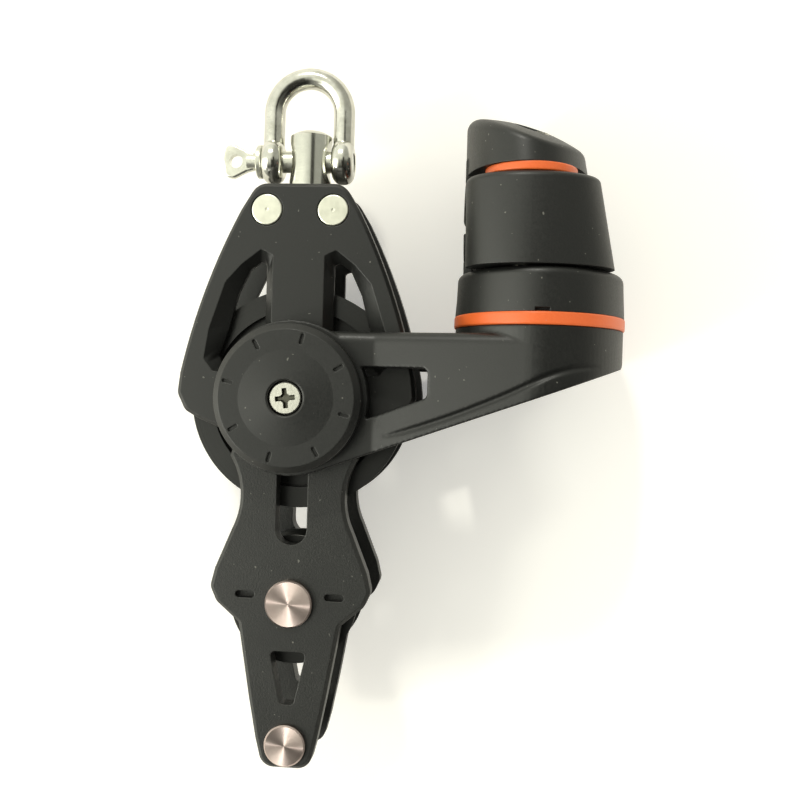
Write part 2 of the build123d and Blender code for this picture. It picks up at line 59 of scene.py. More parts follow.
# Shackle bow. Investment-cast 316 stainless steel, tumbled and then polished on a wheel, with
# two thick ears drilled for the screw pin. The left ear is plain and the right ear is tapped.
MM = 0.001
CAST_RIPPLE, CAST_RIPPLE_DEPTH = 3.5 * MM, 0.12 * MM    # left by the casting, under the polish
SCUFF, SCUFF_DEPTH = 0.45 * MM, 0.01 * MM               # scratches, drawn coarser than real


def linear(hex_colour):
    """The linear colour of an sRGB hex value, with full alpha."""
    parts = [int(hex_colour[i:i + 2], 16) / 255 for i in (1, 3, 5)]
    return [c / 12.92 if c <= 0.04045 else ((c + 0.055) / 1.055) ** 2.4 for c in parts] + [1]


def node(tree, kind, inputs, **settings):
    """Adds one shader node. Each input is a plain value, or the output socket that feeds it."""
    made = tree.nodes.new("ShaderNode" + kind)
    for name, value in settings.items():
        setattr(made, name, value)
    for name, value in inputs.items():
        if isinstance(value, bpy.types.NodeSocket):
            tree.links.new(value, made.inputs[name])
        else:
            made.inputs[name].default_value = value
    return made


def new_material(name):
    """An empty node material, and its tree."""
    material = bpy.data.materials.new(name)
    material.use_nodes = True
    material.node_tree.nodes.clear()
    return material, material.node_tree


def finish(material, *cad_nodes):
    """Gives CAD nodes their material."""
    for name in cad_nodes:
        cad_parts[name].data.materials.clear()
        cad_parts[name].data.materials.append(material)


def middle_of(cad_node):
    """The middle of a CAD node's box, at rest."""
    low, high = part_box(cad_node)
    return (Vector(low) + Vector(high)) / 2


def polished_steel(name, colour, shade, smooth, rough):
    """Cast stainless steel polished on a wheel: it mirrors the room softly, with the slow ripple
    of the casting and small scuffs that blur the mirror here and there."""
    material, tree = new_material(name)
    place = node(tree, "TexCoord", {}).outputs["Object"]
    cast = node(tree, "TexNoise", {"Vector": place, "Scale": 1 / CAST_RIPPLE, "Detail": 2.0})
    scuff = node(tree, "TexNoise", {"Vector": place, "Scale": 1 / SCUFF, "Detail": 5.0,
                                    "Roughness": 0.65})
    tone = node(tree, "MapRange", {"Value": cast.outputs["Fac"], "From Min": 0.40,
                                   "From Max": 0.66})
    base = node(tree, "MixRGB", {"Fac": tone.outputs[0], "Color1": linear(colour),
                                 "Color2": linear(shade)})
    blur = node(tree, "MapRange", {"Value": scuff.outputs["Fac"], "From Min": 0.35,
                                   "From Max": 0.70, "To Min": smooth, "To Max": rough})
    ripple = node(tree, "Bump", {"Height": cast.outputs["Fac"], "Strength": 0.35,
                                 "Distance": CAST_RIPPLE_DEPTH})
    bump = node(tree, "Bump", {"Height": scuff.outputs["Fac"], "Strength": 0.2,
                               "Distance": SCUFF_DEPTH, "Normal": ripple.outputs[0]})
    steel = node(tree, "BsdfPrincipled", {
        "Base Color": base.outputs[0], "Metallic": 1.0, "Roughness": blur.outputs[0],
        "Normal": bump.outputs[0]})
    node(tree, "OutputMaterial", {"Surface": steel.outputs[0]})
    return material


finish(polished_steel("Stainless_Steel_Cast_Polished", "#e3e2da", "#cfcec4", 0.12, 0.24),
       "shackle_bow")


# Shackle pin. Turned from stainless bar: threaded tip, plain shaft and collar, with a thumb tab
# pressed flat and drilled for mousing wire. It is only tumbled, so it is duller than the bow.
finish(polished_steel("Stainless_Steel_Tumbled", "#e6e6da", "#d2d2c6", 0.26, 0.38),
       "shackle_pin")


# Swivel post and its nut, with an acetal thrust washer between nut and socket. The post is turned
# and lightly buffed, so its reflections are straight bands along its length.
# Feed marks are about 0.1 mm apart on real lathe work, and all are drawn coarser to show.
POST_FEED = 0.5 * MM
TURNED_MOTTLE = 1.6 * MM    # uneven tone of the buffed skin
FEED_MARK_DEPTH = 0.015 * MM
TOOL_TRAVEL = {"Z": (0, 0, 1), "Y": (1, 0, 1)}    # along a bar that stands; out over a faced end


def lathe_turned(name, colour, shade, centre, feed, roughness, anisotropy, axis):
    """Stainless steel cut on a lathe: the tool's feed marks run round the axis and spread each
    light into a band or, on a faced end, into a star. The tone is slightly uneven."""
    material, tree = new_material(name)
    place = node(tree, "TexCoord", {}).outputs["Object"]
    centred = node(tree, "VectorMath", {0: place, 1: centre}, operation="SUBTRACT")
    marks = node(tree, "VectorMath", {0: centred.outputs[0], 1: TOOL_TRAVEL[axis]},
                 operation="MULTIPLY")
    travel = node(tree, "VectorMath", {0: marks.outputs[0]}, operation="LENGTH")
    lines = node(tree, "TexNoise", {"W": travel.outputs["Value"], "Scale": 1 / feed, "Detail": 4.0},
                 noise_dimensions="1D")
    cloud = node(tree, "TexNoise", {"Vector": place, "Scale": 1 / TURNED_MOTTLE, "Detail": 3.0})
    base = node(tree, "MixRGB", {"Fac": cloud.outputs["Fac"], "Color1": linear(colour),
                                 "Color2": linear(shade)})
    bump = node(tree, "Bump", {"Height": lines.outputs["Fac"], "Strength": 0.25,
                               "Distance": FEED_MARK_DEPTH})
    tangent = node(tree, "Tangent", {}, direction_type="RADIAL", axis=axis)
    steel = node(tree, "BsdfPrincipled", {
        "Base Color": base.outputs[0], "Metallic": 1.0, "Roughness": roughness,
        "Anisotropic": anisotropy, "Tangent": tangent.outputs[0], "Normal": bump.outputs[0]})
    node(tree, "OutputMaterial", {"Surface": steel.outputs[0]})
    return material


finish(lathe_turned("Stainless_Steel_Turned_Post", "#e2e2d8", "#d0d0c6", middle_of("swivel_post"),
                    POST_FEED, 0.17, 0.3, "Z"), "swivel_post", "swivel_nut")


# Head cheeks and swivel socket. Glass-filled nylon, injection moulded in polished tools that
# were then lightly blasted, so the black is an even satin with a faint grey-green cast.
# A blasted tool's grain is about 0.1 mm, and all grains here are drawn coarser to show.
SATIN_GRAIN, SATIN_DEPTH = 0.5 * MM, 0.03 * MM
SMOOTH_DEPTH = 0.01 * MM    # grain depth of the parts from a polished tool
FLOW_TONE = 9.0 * MM        # slow change of tone where the melt flowed
DUST_SPACING = 0.9 * MM
EDGE_ROUND_AND_HIGHLIGHT = 0.35 * MM


def moulded(name, colour, pale, edge_highlight_colour, grain, depth, roughness):
    """A moulded plastic. The blasted mould leaves a fine grain, the melt's flow a slow change of
    tone, and a painted highlight pales every edge. Salt and dust sit on it as a few pale specks."""
    material, tree = new_material(name)
    place = node(tree, "TexCoord", {}).outputs["Object"]
    flow = node(tree, "TexNoise", {"Vector": place, "Scale": 1 / FLOW_TONE, "Detail": 3.0})
    sand = node(tree, "TexNoise", {"Vector": place, "Scale": 1 / grain, "Detail": 2.0,
                                   "Roughness": 0.6})
    dust = node(tree, "TexNoise", {"Vector": place, "Scale": 1 / DUST_SPACING, "Detail": 0.0})
    soft = node(tree, "Bevel", {"Radius": EDGE_ROUND_AND_HIGHLIGHT}, samples=6)
    true_normal = node(tree, "NewGeometry", {}).outputs["Normal"]
    facing = node(tree, "VectorMath", {0: soft.outputs[0], 1: true_normal}, operation="DOT_PRODUCT")
    # Painted highlight: a band along every rounded edge is painted paler.
    edge_highlight = node(tree, "MapRange", {"Value": facing.outputs["Value"], "From Min": 0.975,
                                     "From Max": 0.80})
    speck = node(tree, "MapRange", {"Value": dust.outputs["Fac"], "From Min": 0.85,
                                    "From Max": 0.88, "To Max": 0.3})
    grit = node(tree, "MapRange", {"Value": sand.outputs["Fac"], "From Min": 0.35,
                                   "From Max": 0.68})
    tone = node(tree, "Math", {0: flow.outputs["Fac"], 1: grit.outputs[0]}, operation="MULTIPLY")
    body = node(tree, "MixRGB", {"Fac": tone.outputs[0], "Color1": linear(colour),
                                 "Color2": linear(pale)})
    edge_highlit = node(tree, "MixRGB", {"Fac": edge_highlight.outputs[0], "Color1": body.outputs[0],
                                 "Color2": linear(edge_highlight_colour)})
    dusty = node(tree, "MixRGB", {"Fac": speck.outputs[0], "Color1": edge_highlit.outputs[0],
                                  "Color2": linear("#a9a99c")})
    rough = node(tree, "MapRange", {"Value": sand.outputs["Fac"], "From Min": 0.3, "From Max": 0.7,
                                    "To Min": roughness - 0.07, "To Max": roughness + 0.05})
    bump = node(tree, "Bump", {"Height": sand.outputs["Fac"], "Strength": 0.6, "Distance": depth,
                               "Normal": soft.outputs[0]})
    plastic = node(tree, "BsdfPrincipled", {
        "Base Color": dusty.outputs[0], "Roughness": rough.outputs[0], "IOR": 1.53,
        "Normal": bump.outputs[0]})
    node(tree, "OutputMaterial", {"Surface": plastic.outputs[0]})
    return material


acetal_white = moulded("Acetal_White_Moulded", "#dedbd0", "#e8e6dc", "#f0eee6",
                       SATIN_GRAIN, SMOOTH_DEPTH, 0.38)
finish(acetal_white, "swivel_thrust_washer")
nylon_satin = moulded("Glass_Nylon_Black_Satin", "#151614", "#1f201d", "#3a3b37",
                      SATIN_GRAIN, SATIN_DEPTH, 0.44)
finish(nylon_satin, "head_cheek_front", "head_cheek_rear", "swivel_socket")


# Head rivets. Two stainless rivets hold cheeks and socket together. Each head is pressed flat in
# its counterbore, with a small centre pip from the punch and a rounded rim.
RIVET_PIP_R, RIVET_PIP_DEPTH = 0.5 * MM, 0.06 * MM
RIVET_RIM = 0.35 * MM
RIVET_SHANK_R = 2.25 * MM
RIVET_HEAD_HEIGHT = 1.35 * MM


def spun(name, profile, centre, segments=72):
    """Lathe mesh about the line through centre along Y, from a profile of (radius, y) points."""
    mesh = bpy.data.meshes.new(name)
    shape = bmesh.new()
    points = [shape.verts.new((centre.x + r, y, centre.z)) for r, y in profile]
    edges = [shape.edges.new(pair) for pair in zip(points, points[1:])]
    bmesh.ops.spin(shape, geom=points + edges, cent=centre, axis=(0, 1, 0), dvec=(0, 0, 0),
                   angle=math.tau, steps=segments, use_merge=True)
    bmesh.ops.remove_doubles(shape, verts=shape.verts, dist=0.0005 * MM)
    bmesh.ops.recalc_face_normals(shape, faces=shape.faces)
    shape.to_mesh(mesh)
    shape.free()
    mesh.shade_smooth()
    piece = bpy.data.objects.new(name, mesh)
    bpy.context.scene.collection.objects.link(piece)
    return piece


def rivet_profile(head_r, shank_r, out, seat):
    """Half section from the front pip over rim, shank and rear head to the rear pip. A ring just
    inside each corner keeps the flat face flat where the mesh is shaded smooth."""
    front = [(0, RIVET_PIP_DEPTH - out), (RIVET_PIP_R * 0.6, RIVET_PIP_DEPTH - out),
             (RIVET_PIP_R, -out), (RIVET_PIP_R * 1.1, -out), (head_r - RIVET_RIM * 1.2, -out),
             (head_r - RIVET_RIM, -out)]
    front += [(head_r - RIVET_RIM * (1 - math.sin(a)), -out + RIVET_RIM * (1 - math.cos(a)))
              for a in (math.pi / 6, math.pi / 3, math.pi / 2)]
    front += [(head_r, -seat), (shank_r, -seat)]
    return front + [(r, -y) for r, y in reversed(front)]


low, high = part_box("head_rivets")
head_r = (high.z - low.z) / 2
rivet_steel = polished_steel("Stainless_Steel_Pressed_Rivet", "#f0f0e0", "#e2e2d2", 0.30, 0.42)
for side, name in ((-1, "rivet_left"), (1, "rivet_right")):
    centre = middle_of("head_rivets") + Vector((side * ((high.x - low.x) / 2 - head_r), 0, 0))
    profile = rivet_profile(head_r, RIVET_SHANK_R, high.y, high.y - RIVET_HEAD_HEIGHT)
    rivet = spun(name, profile, centre)
    rivet.data.materials.append(rivet_steel)
    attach(rivet, "block")
    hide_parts("head_rivets")


# Main axle and bearing. A stainless axle carries a plain race, and sixteen white acetal rollers
# run round it inside the sheave. Axle and race are ground; the rollers are moulded and milky.
GROUND_FEED = 0.3 * MM
finish(lathe_turned("Stainless_Steel_Ground_Axle", "#c9c7be", "#b4b2a9", middle_of("main_axle"),
                    GROUND_FEED, 0.28, 0.6, "Y"),
       "main_axle", "main_race", "lobe_bush", "becket_bush")
finish(acetal_white, "main_rollers")


# Sheaves. Black acetal wheels turned from bar: fine rings on their faces, and a groove that the
# rope has polished and left slightly paler.
SHEAVE_RINGS, SHEAVE_RING_DEPTH = 0.4 * MM, 0.03 * MM       # the cut's rings, drawn coarser
SHEAVE_MOTTLE = 4.0 * MM
ROPE_EDGE, ROPE_BED = 6.6 * MM, 4.5 * MM    # from the middle plane: rubbed a little, and fully


def turned_acetal(name, wheel):
    """Acetal cut on a lathe: it is smoother than the moulded nylon and shows fine rings."""
    low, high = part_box(wheel)
    centre, outer = middle_of(wheel), (high.z - low.z) / 2
    material, tree = new_material(name)
    place = node(tree, "TexCoord", {}).outputs["Object"]
    centred = node(tree, "VectorMath", {0: place, 1: centre}, operation="SUBTRACT")
    flat = node(tree, "VectorMath", {0: centred.outputs[0], 1: (1, 0, 1)}, operation="MULTIPLY")
    radius = node(tree, "VectorMath", {0: flat.outputs[0]}, operation="LENGTH").outputs["Value"]
    rings = node(tree, "TexNoise", {"W": radius, "Scale": 1 / SHEAVE_RINGS, "Detail": 3.0},
                 noise_dimensions="1D")
    cloud = node(tree, "TexNoise", {"Vector": place, "Scale": 1 / SHEAVE_MOTTLE, "Detail": 3.0})
    depth = node(tree, "SeparateXYZ", {"Vector": centred.outputs[0]}).outputs["Y"]
    off_middle = node(tree, "Math", {0: depth}, operation="ABSOLUTE")
    inside = node(tree, "MapRange", {"Value": off_middle.outputs[0], "From Min": ROPE_EDGE,
                                     "From Max": ROPE_BED})
    near_rim = node(tree, "MapRange", {"Value": radius, "From Min": outer * 0.75,
                                       "From Max": outer * 0.8})
    groove = node(tree, "Math", {0: inside.outputs[0], 1: near_rim.outputs[0]},
                  operation="MULTIPLY")
    base = node(tree, "MixRGB", {"Fac": cloud.outputs["Fac"], "Color1": linear("#141513"),
                                 "Color2": linear("#1e1f1c")})
    edge_highlight = node(tree, "MixRGB", {"Fac": groove.outputs[0], "Color1": base.outputs[0],
                                   "Color2": linear("#2c2d29")})
    bump = node(tree, "Bump", {"Height": rings.outputs["Fac"], "Strength": 0.5,
                               "Distance": SHEAVE_RING_DEPTH})
    plastic = node(tree, "BsdfPrincipled", {
        "Base Color": edge_highlight.outputs[0], "Roughness": 0.34, "IOR": 1.48, "Normal": bump.outputs[0]})
    node(tree, "OutputMaterial", {"Surface": plastic.outputs[0]})
    return material


for wheel in ("main_sheave", "small_sheave"):
    finish(turned_acetal("Acetal_Black_Turned_" + wheel, wheel), wheel)


# Fiddle plates. The same glass-filled nylon as the head, moulded in a coarsely blasted tool: the
# flat faces have a sandy grain that glitters slightly.
SAND_GRAIN, SAND_DEPTH = 0.45 * MM, 0.12 * MM       # coarse grit, drawn a little coarser still
finish(moulded("Glass_Nylon_Black_Sand_Grained", "#161715", "#30312d", "#3c3d39",
               SAND_GRAIN, SAND_DEPTH, 0.46), "fiddle_plate_front", "fiddle_plate_rear")


# Lobe pin and becket pin. Stainless pins with faced heads. The facing cut leaves rings so fine
# that each light is drawn out into a bright ray through the centre.
FACING_FEED = 0.22 * MM
# The pins' pinkish colours are a painted reflection of the room.
for pin in ("lobe_pin", "becket_pin"):
    finish(lathe_turned("Stainless_Steel_Faced_" + pin, "#e2d2cc", "#ceb9b3", middle_of(pin),
                        FACING_FEED, 0.38, 1.0, "Y"), pin)


# Hub caps and screws. The caps are round mouldings that cover the arm's rings, with eight radial
# marks, and a pressed stainless screw with a cross recess holds each one to the axle.
SCREW_RIM, SCREW_RECESS_DEPTH = 0.08 * MM, 0.5 * MM     # painted shade starts below the rim
GRIME, GRIME_DEPTH = 0.6 * MM, 0.05 * MM
finish(nylon_satin, "hub_cap_front", "hub_cap_rear")


def recessed_screw(name, head_y):
    """Pressed stainless screw head: bright on top, with shade painted dark into the recess."""
    material, tree = new_material(name)
    place = node(tree, "TexCoord", {}).outputs["Object"]
    depth = node(tree, "SeparateXYZ", {"Vector": place}).outputs["Y"]
    out = node(tree, "Math", {0: depth}, operation="ABSOLUTE")
    # Painted shade: below the head's rim the colour turns dark.
    painted_recess_shade = node(tree, "MapRange", {"Value": out.outputs[0], "From Min": head_y - SCREW_RIM,
                                   "From Max": head_y - SCREW_RECESS_DEPTH})
    grime = node(tree, "TexNoise", {"Vector": place, "Scale": 1 / GRIME, "Detail": 3.0})
    rough = node(tree, "MapRange", {"Value": grime.outputs["Fac"], "To Min": 0.16, "To Max": 0.42})
    base = node(tree, "MixRGB", {"Fac": painted_recess_shade.outputs[0], "Color1": linear("#e9e8dd"),
                                 "Color2": linear("#6d6c62")})
    bump = node(tree, "Bump", {"Height": grime.outputs["Fac"], "Strength": 0.3,
                               "Distance": GRIME_DEPTH})
    steel = node(tree, "BsdfPrincipled", {
        "Base Color": base.outputs[0], "Metallic": 1.0, "Roughness": rough.outputs[0],
        "Normal": bump.outputs[0]})
    node(tree, "OutputMaterial", {"Surface": steel.outputs[0]})
    return material


low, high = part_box("hub_screw_rear")
finish(recessed_screw("Stainless_Steel_Pressed_Screw", high.y), "hub_screw_front", "hub_screw_rear")


# Cleat arm. One moulding in the satin nylon: a fork whose rings turn on the hub, legs that spread
# to meet an oval deck, cored out below. A soft crease runs along the outside of each leg, and
# every edge is rounded, because the mould's edges are.
ARM_SIDES = 96              # segments in a full round of the arm's outlines
LEG_IN = 14.3 * MM          # inner face of the legs
LEG_TOP = 18.0 * MM
LEG_SHOULDER = 2.6 * MM     # rounding of the legs' upper outer edge
FLARE_X = 22.0 * MM         # where the legs start to spread
FORK_END_X = 42.0 * MM
HUB_BORE_R, SCREW_BORE_R = 12.3 * MM, 2.5 * MM
CAM_SCREW_HEAD_R = 4.4 * MM
TIP_Z, TIP_ROUND = 10.4 * MM, 3.0 * MM
POCKET_TOP = 16.4 * MM
SCREW_CORE_R = 5.6 * MM
CREASE_R, CREASE_DEPTH = 0.9 * MM, 0.62 * MM
CREASE_SIDES, CREASE_STEPS = 16, 24
CLEAR = 30 * MM             # past the arm, for cutters that go right through
ARM_VOXEL = 0.33 * MM

# Window, pockets and crease in plain millimetres: x and z in the side view, and x, y, length and
# width for a pocket. The crease is two curves that meet on the leg's face.
WINDOW_TOP, WINDOW_LOW, WINDOW_BACK = 8.7, -6.8, 15.0
WINDOW_CORNER_R, WINDOW_CENTRES = 1.6, ((34.7, 7.1), (34.7, 2.2))
POCKETS = ((50.5, 0, 9, 14), (63.0, 0, 10, 14), (76.0, 0, 10, 14), (75.0, 15.5, 9, 12),
           (75.0, -15.5, 9, 12), (50.0, 17.0, 7, 12), (50.0, -17.0, 7, 12))
CREASE_RUN = (((24, -9.6), (36, -6.4), (47, -1.9), (56, 2.2)),
              ((56, 2.2), (65, 6.3), (69, 9.9), (80.5, 10.0)))

low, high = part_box("cleat_arm")
ring_low, ring_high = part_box("cleat_base_ring")
oval_x, deck_z = (ring_low.x + ring_high.x) / 2, ring_low.z
oval_a, oval_b, ring_r, leg_out = high.x - oval_x, high.y, -low.x, -low.x
slope = math.atan2(TIP_Z, high.x) + math.asin(ring_r / math.hypot(TIP_Z, high.x))


def underside(x):
    """Height of the arm's lower edge: a line from the tip, tangent to the hub ring."""
    return TIP_Z + math.tan(slope) * (x - high.x)


def arc(centre_x, centre_z, a, b, start, end):
    """Points along an ellipse's arc, the half axes a and b, both ends included."""
    count = max(2, round(ARM_SIDES * abs(end - start) / math.tau))
    turns = [start + (end - start) * k / count for k in range(count + 1)]
    return [(centre_x + a * math.cos(t), centre_z + b * math.sin(t)) for t in turns]


def full_round(centre_x, radius):
    """Points of a whole circle, each once."""
    return arc(centre_x, 0, radius, radius, 0, math.tau)[:-1]


def arm_plan(inset):
    """Plan outline: parallel legs, then the oval on its tangents."""
    a, b, half = oval_a - inset, oval_b - inset, leg_out - inset
    u, v = (FLARE_X - oval_x) / a, half / b
    touch = math.atan2(v, u) - math.acos(1 / math.hypot(u, v))
    back = low.x - 5 * MM
    return ([(back, -half), (FLARE_X, -half)] + arc(oval_x, 0, a, b, -touch, touch)
            + [(FLARE_X, half), (back, half)])


def solid(name, rings):
    """Closed mesh from rings of points, each ring as long as the next, capped at both ends."""
    mesh = bpy.data.meshes.new(name)
    count = len(rings[0])
    faces = [(r * count + k, r * count + (k + 1) % count, (r + 1) * count + (k + 1) % count,
              (r + 1) * count + k) for r in range(len(rings) - 1) for k in range(count)]
    last = (len(rings) - 1) * count
    caps = [tuple(reversed(range(count))), tuple(range(last, last + count))]
    mesh.from_pydata([point for ring in rings for point in ring], [], faces + caps)
    shape = bmesh.new()
    shape.from_mesh(mesh)
    bmesh.ops.recalc_face_normals(shape, faces=shape.faces)
    shape.to_mesh(mesh)
    shape.free()
    piece = bpy.data.objects.new(name, mesh)
    bpy.context.scene.collection.objects.link(piece)
    return piece


def standing(name, outline, bottom, top):
    """Prism of a plan outline, between two heights."""
    return solid(name, [[(x, y, z) for x, y in outline] for z in (bottom, top)])


def lying(name, outline, near, far):
    """Prism of a side outline, between two depths."""
    return solid(name, [[(x, y, z) for x, z in outline] for y in (near, far)])


def apply_modifiers(piece):
    """Puts the result of the piece's modifiers in its mesh."""
    graph = bpy.context.evaluated_depsgraph_get()
    piece.data = bpy.data.meshes.new_from_object(piece.evaluated_get(graph))
    piece.modifiers.clear()


def combine(piece, operation, tools):
    """Joins, cuts or keeps what is common with each tool in turn, then removes the tools."""
    for tool in tools:
        step = piece.modifiers.new(tool.name, "BOOLEAN")
        step.operation, step.object, step.solver = operation, tool, "EXACT"
        apply_modifiers(piece)
        bpy.data.objects.remove(tool)


def leg_side(x):
    """Distance of the leg's outer face from the middle plane."""
    outline = [point for point in arm_plan(0) if point[1] > 0]
    outline = sorted(point for point in outline if point[0] <= high.x)
    for (x0, y0), (x1, y1) in zip(outline, outline[1:]):
        if x0 <= x <= x1:
            return y0 + (y1 - y0) * (x - x0) / max(x1 - x0, 1e-9)
    return outline[-1][1]


def crease(name, side):
    """Round cutter that follows the leg's face, sinks in, and fades out at both ends."""
    path = []
    for curve in CREASE_RUN:
        handles = [Vector((x * MM, 0, z * MM)) for x, z in curve]
        path += geometry.interpolate_bezier(*handles, CREASE_STEPS)
    lean = CREASE_R * 0.5 * math.sin(slope)     # turns each ring square to the run
    turns = [math.tau * j / CREASE_SIDES for j in range(CREASE_SIDES)]
    rings = []
    for k, point in enumerate(path):
        sink = CREASE_DEPTH * (1 - abs(2 * k / (len(path) - 1) - 1) ** 6) - 0.02 * MM
        y = side * (leg_side(point.x) + CREASE_R - sink)
        rings.append([(point.x - lean * math.cos(t), y + CREASE_R * math.sin(t),
                       point.z + CREASE_R * math.cos(t)) for t in turns])
    return solid(name, rings)


# The blank: the plan outline standing up, with the legs' shoulders rounded over.
round_over = [(LEG_TOP - LEG_SHOULDER * (1 - math.sin(t)), LEG_SHOULDER * (1 - math.cos(t)))
              for t in [math.pi / 2 * k / 5 for k in range(6)]]
levels = [(low.z - 5 * MM, 0.0)] + round_over
arm = solid("cleat_arm_moulded", [[(x, y, z) for x, y in arm_plan(inset)] for z, inset in levels])

# Its side: the ring, the underside up to the rounded tip, and the flat top.
wide = oval_b + 2 * MM
over_x, over_z = high.x + 1 * MM, LEG_TOP + 1 * MM
outline = arc(0, 0, ring_r, ring_r, math.asin(LEG_TOP / ring_r), 1.5 * math.pi + slope)
outline += [(high.x - TIP_ROUND, underside(high.x - TIP_ROUND)),
            (high.x - TIP_ROUND * 0.3, TIP_Z - TIP_ROUND * 0.12),
            (high.x, TIP_Z + TIP_ROUND * 0.45), (over_x, TIP_Z + TIP_ROUND),
            (over_x, over_z), (0.5 * ring_r, over_z)]
combine(arm, "INTERSECT", [lying("side", outline, -wide, wide)])

# The window through both legs, then the hub rings and the oval deck.
upper, lower = WINDOW_CENTRES
window = [(WINDOW_BACK, WINDOW_TOP)]
window += arc(*upper, WINDOW_CORNER_R, WINDOW_CORNER_R, math.pi / 2, 0)
window += arc(*lower, WINDOW_CORNER_R, WINDOW_CORNER_R, 0, -math.pi / 2 + slope)
window += [(WINDOW_BACK, WINDOW_LOW)]
combine(arm, "DIFFERENCE", [lying("window", [(x * MM, z * MM) for x, z in window], -wide, wide)])
deck = arc(oval_x, 0, oval_a, oval_b, 0, math.tau)[:-1]
combine(arm, "UNION", [lying("rings", full_round(0, ring_r), -leg_out, leg_out),
                       standing("deck", deck, LEG_TOP - LEG_SHOULDER, deck_z)])

# The cuts: the fork's gap, the hub bore, the cored pockets, the screws' cores and bores, and the
# crease on each leg.
back = low.x - 9 * MM
fork = [(back, -LEG_IN), (FORK_END_X, -LEG_IN), (FORK_END_X, LEG_IN), (back, LEG_IN)]
tools = [standing("gap", fork, low.z - 9 * MM, high.z + 9 * MM),
         lying("bore", full_round(0, HUB_BORE_R), -wide, wide)]
for k, (x, y, length, width) in enumerate(POCKETS):
    corners = [(x + i * length / 2, y + j * width / 2)
               for i, j in ((-1, -1), (1, -1), (1, 1), (-1, 1))]
    pocket = [(px * MM, py * MM) for px, py in corners]
    tools.append(standing("pocket_%d" % k, pocket, -CLEAR, POCKET_TOP))
screws_low, screws_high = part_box("cleat_screws")
for screw_y in (screws_low.y + CAM_SCREW_HEAD_R, screws_high.y - CAM_SCREW_HEAD_R):
    for radius, top in ((SCREW_CORE_R, POCKET_TOP), (SCREW_BORE_R, CLEAR)):
        hole = [(x, y + screw_y) for x, y in full_round((screws_low.x + screws_high.x) / 2, radius)]
        tools.append(standing("screw_bore", hole, -CLEAR, top))
tools += [crease("crease_front", -1), crease("crease_rear", 1)]
combine(arm, "DIFFERENCE", tools)

# A fine remesh, smoothed, rounds every edge. The thinning then collapses it to a quarter of its
# triangles.
skin = arm.modifiers.new("skin", "REMESH")
skin.mode, skin.voxel_size = "VOXEL", ARM_VOXEL
soften = arm.modifiers.new("soften", "SMOOTH")
soften.factor, soften.iterations = 0.5, 2
thin = arm.modifiers.new("thin", "DECIMATE")
thin.ratio = 0.25
apply_modifiers(arm)
arm.data.shade_smooth()
arm.data.materials.clear()
arm.data.materials.append(nylon_satin)
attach(arm, "cleat")
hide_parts("cleat_arm")


# Cleat base. A shallow oval box in the satin nylon that sits on the orange ring and carries the
# lower half of the rope guide.
finish(nylon_satin, "cleat_base")


# Orange trim: the ring under the base and the discs on the cams. Smooth nylon from a polished
# tool, clamped in the stack by the two cap screws.
TRIM_GRAIN = 0.6 * MM
finish(moulded("Nylon_Orange_Smooth", "#e8682c", "#ee7434", "#f58a50",
               TRIM_GRAIN, SMOOTH_DEPTH, 0.40), "cleat_base_ring", "cam_top_discs")


# Cams and cap. Two nylon cams turn on steel bushes, each over a torsion spring of drawn wire, and
# two screws through the domed cap and the bushes hold the stack to the arm.
finish(nylon_satin, "cam_front", "cam_rear", "cleat_cap")
finish(polished_steel("Stainless_Steel_Drawn", "#cbc9c0", "#b5b3aa", 0.2, 0.34),
       "cam_bushes", "cam_springs", "cleat_screws", "cleat_nuts")


# The table it lies on: a large sheet of pale matt paper. Seen from behind it is clear, so that the
# block's back can be looked at, and it glows a little so that it comes out nearly white.
TABLE_SIZE, TABLE_GAP = 4.0, 1 * MM
middle = (cad_low + cad_high) / 2
bpy.ops.mesh.primitive_plane_add(size=TABLE_SIZE)
table = bpy.context.object
table.name = "pale_table"
table.data.transform(Matrix.Translation((middle.x, cad_high.y + TABLE_GAP, middle.z))
                     @ Matrix.Rotation(math.radians(90), 4, "X"))
table.visible_shadow = False
material, tree = new_material("Table_Pale_Paper")
paper = node(tree, "BsdfDiffuse", {"Color": linear("#f7f5ec")})
clear = node(tree, "BsdfTransparent", {})
behind = node(tree, "NewGeometry", {})
light_path = node(tree, "LightPath", {})
glow = node(tree, "Emission", {"Color": linear("#ffffff"), "Strength": 0.26})
lit = node(tree, "AddShader", {0: paper.outputs[0], 1: glow.outputs[0]})
seen = node(tree, "MixShader", {"Fac": light_path.outputs["Is Camera Ray"],
                                1: paper.outputs[0], 2: lit.outputs[0]})
mix = node(tree, "MixShader", {"Fac": behind.outputs["Backfacing"],
                               1: seen.outputs[0], 2: clear.outputs[0]})
node(tree, "OutputMaterial", {"Surface": mix.outputs[0]})
table.data.materials.append(material)


# Light: a wide window on the left, a small bright one beside it, a small lamp above that draws the
# upright ray on the pins, and a lamp for the back. Places are in metres from the block's middle.
def soft_lamp(name, place, width, watts, colour):
    """A square lamp that faces the block."""
    lamp = bpy.data.lights.new(name, "AREA")
    lamp.size, lamp.energy, lamp.color = width, watts, linear(colour)[:3]
    holder = bpy.data.objects.new(name, lamp)
    bpy.context.scene.collection.objects.link(holder)
    holder.location = middle + Vector(place)
    holder.rotation_euler = (middle - holder.location).to_track_quat("-Z", "Y").to_euler()


soft_lamp("window_light", (-0.95, -0.65, -0.30), 0.80, 3.0, "#fffef6")
soft_lamp("second_window", (-0.74, -0.66, -0.34), 0.14, 2.1, "#fffef6")
soft_lamp("ceiling_strip", (-0.15, -0.70, 0.85), 0.08, 3.8, "#fffdf4")
soft_lamp("rear_light", (0.35, 0.8, 0.35), 0.7, 5.0, "#fffdf4")

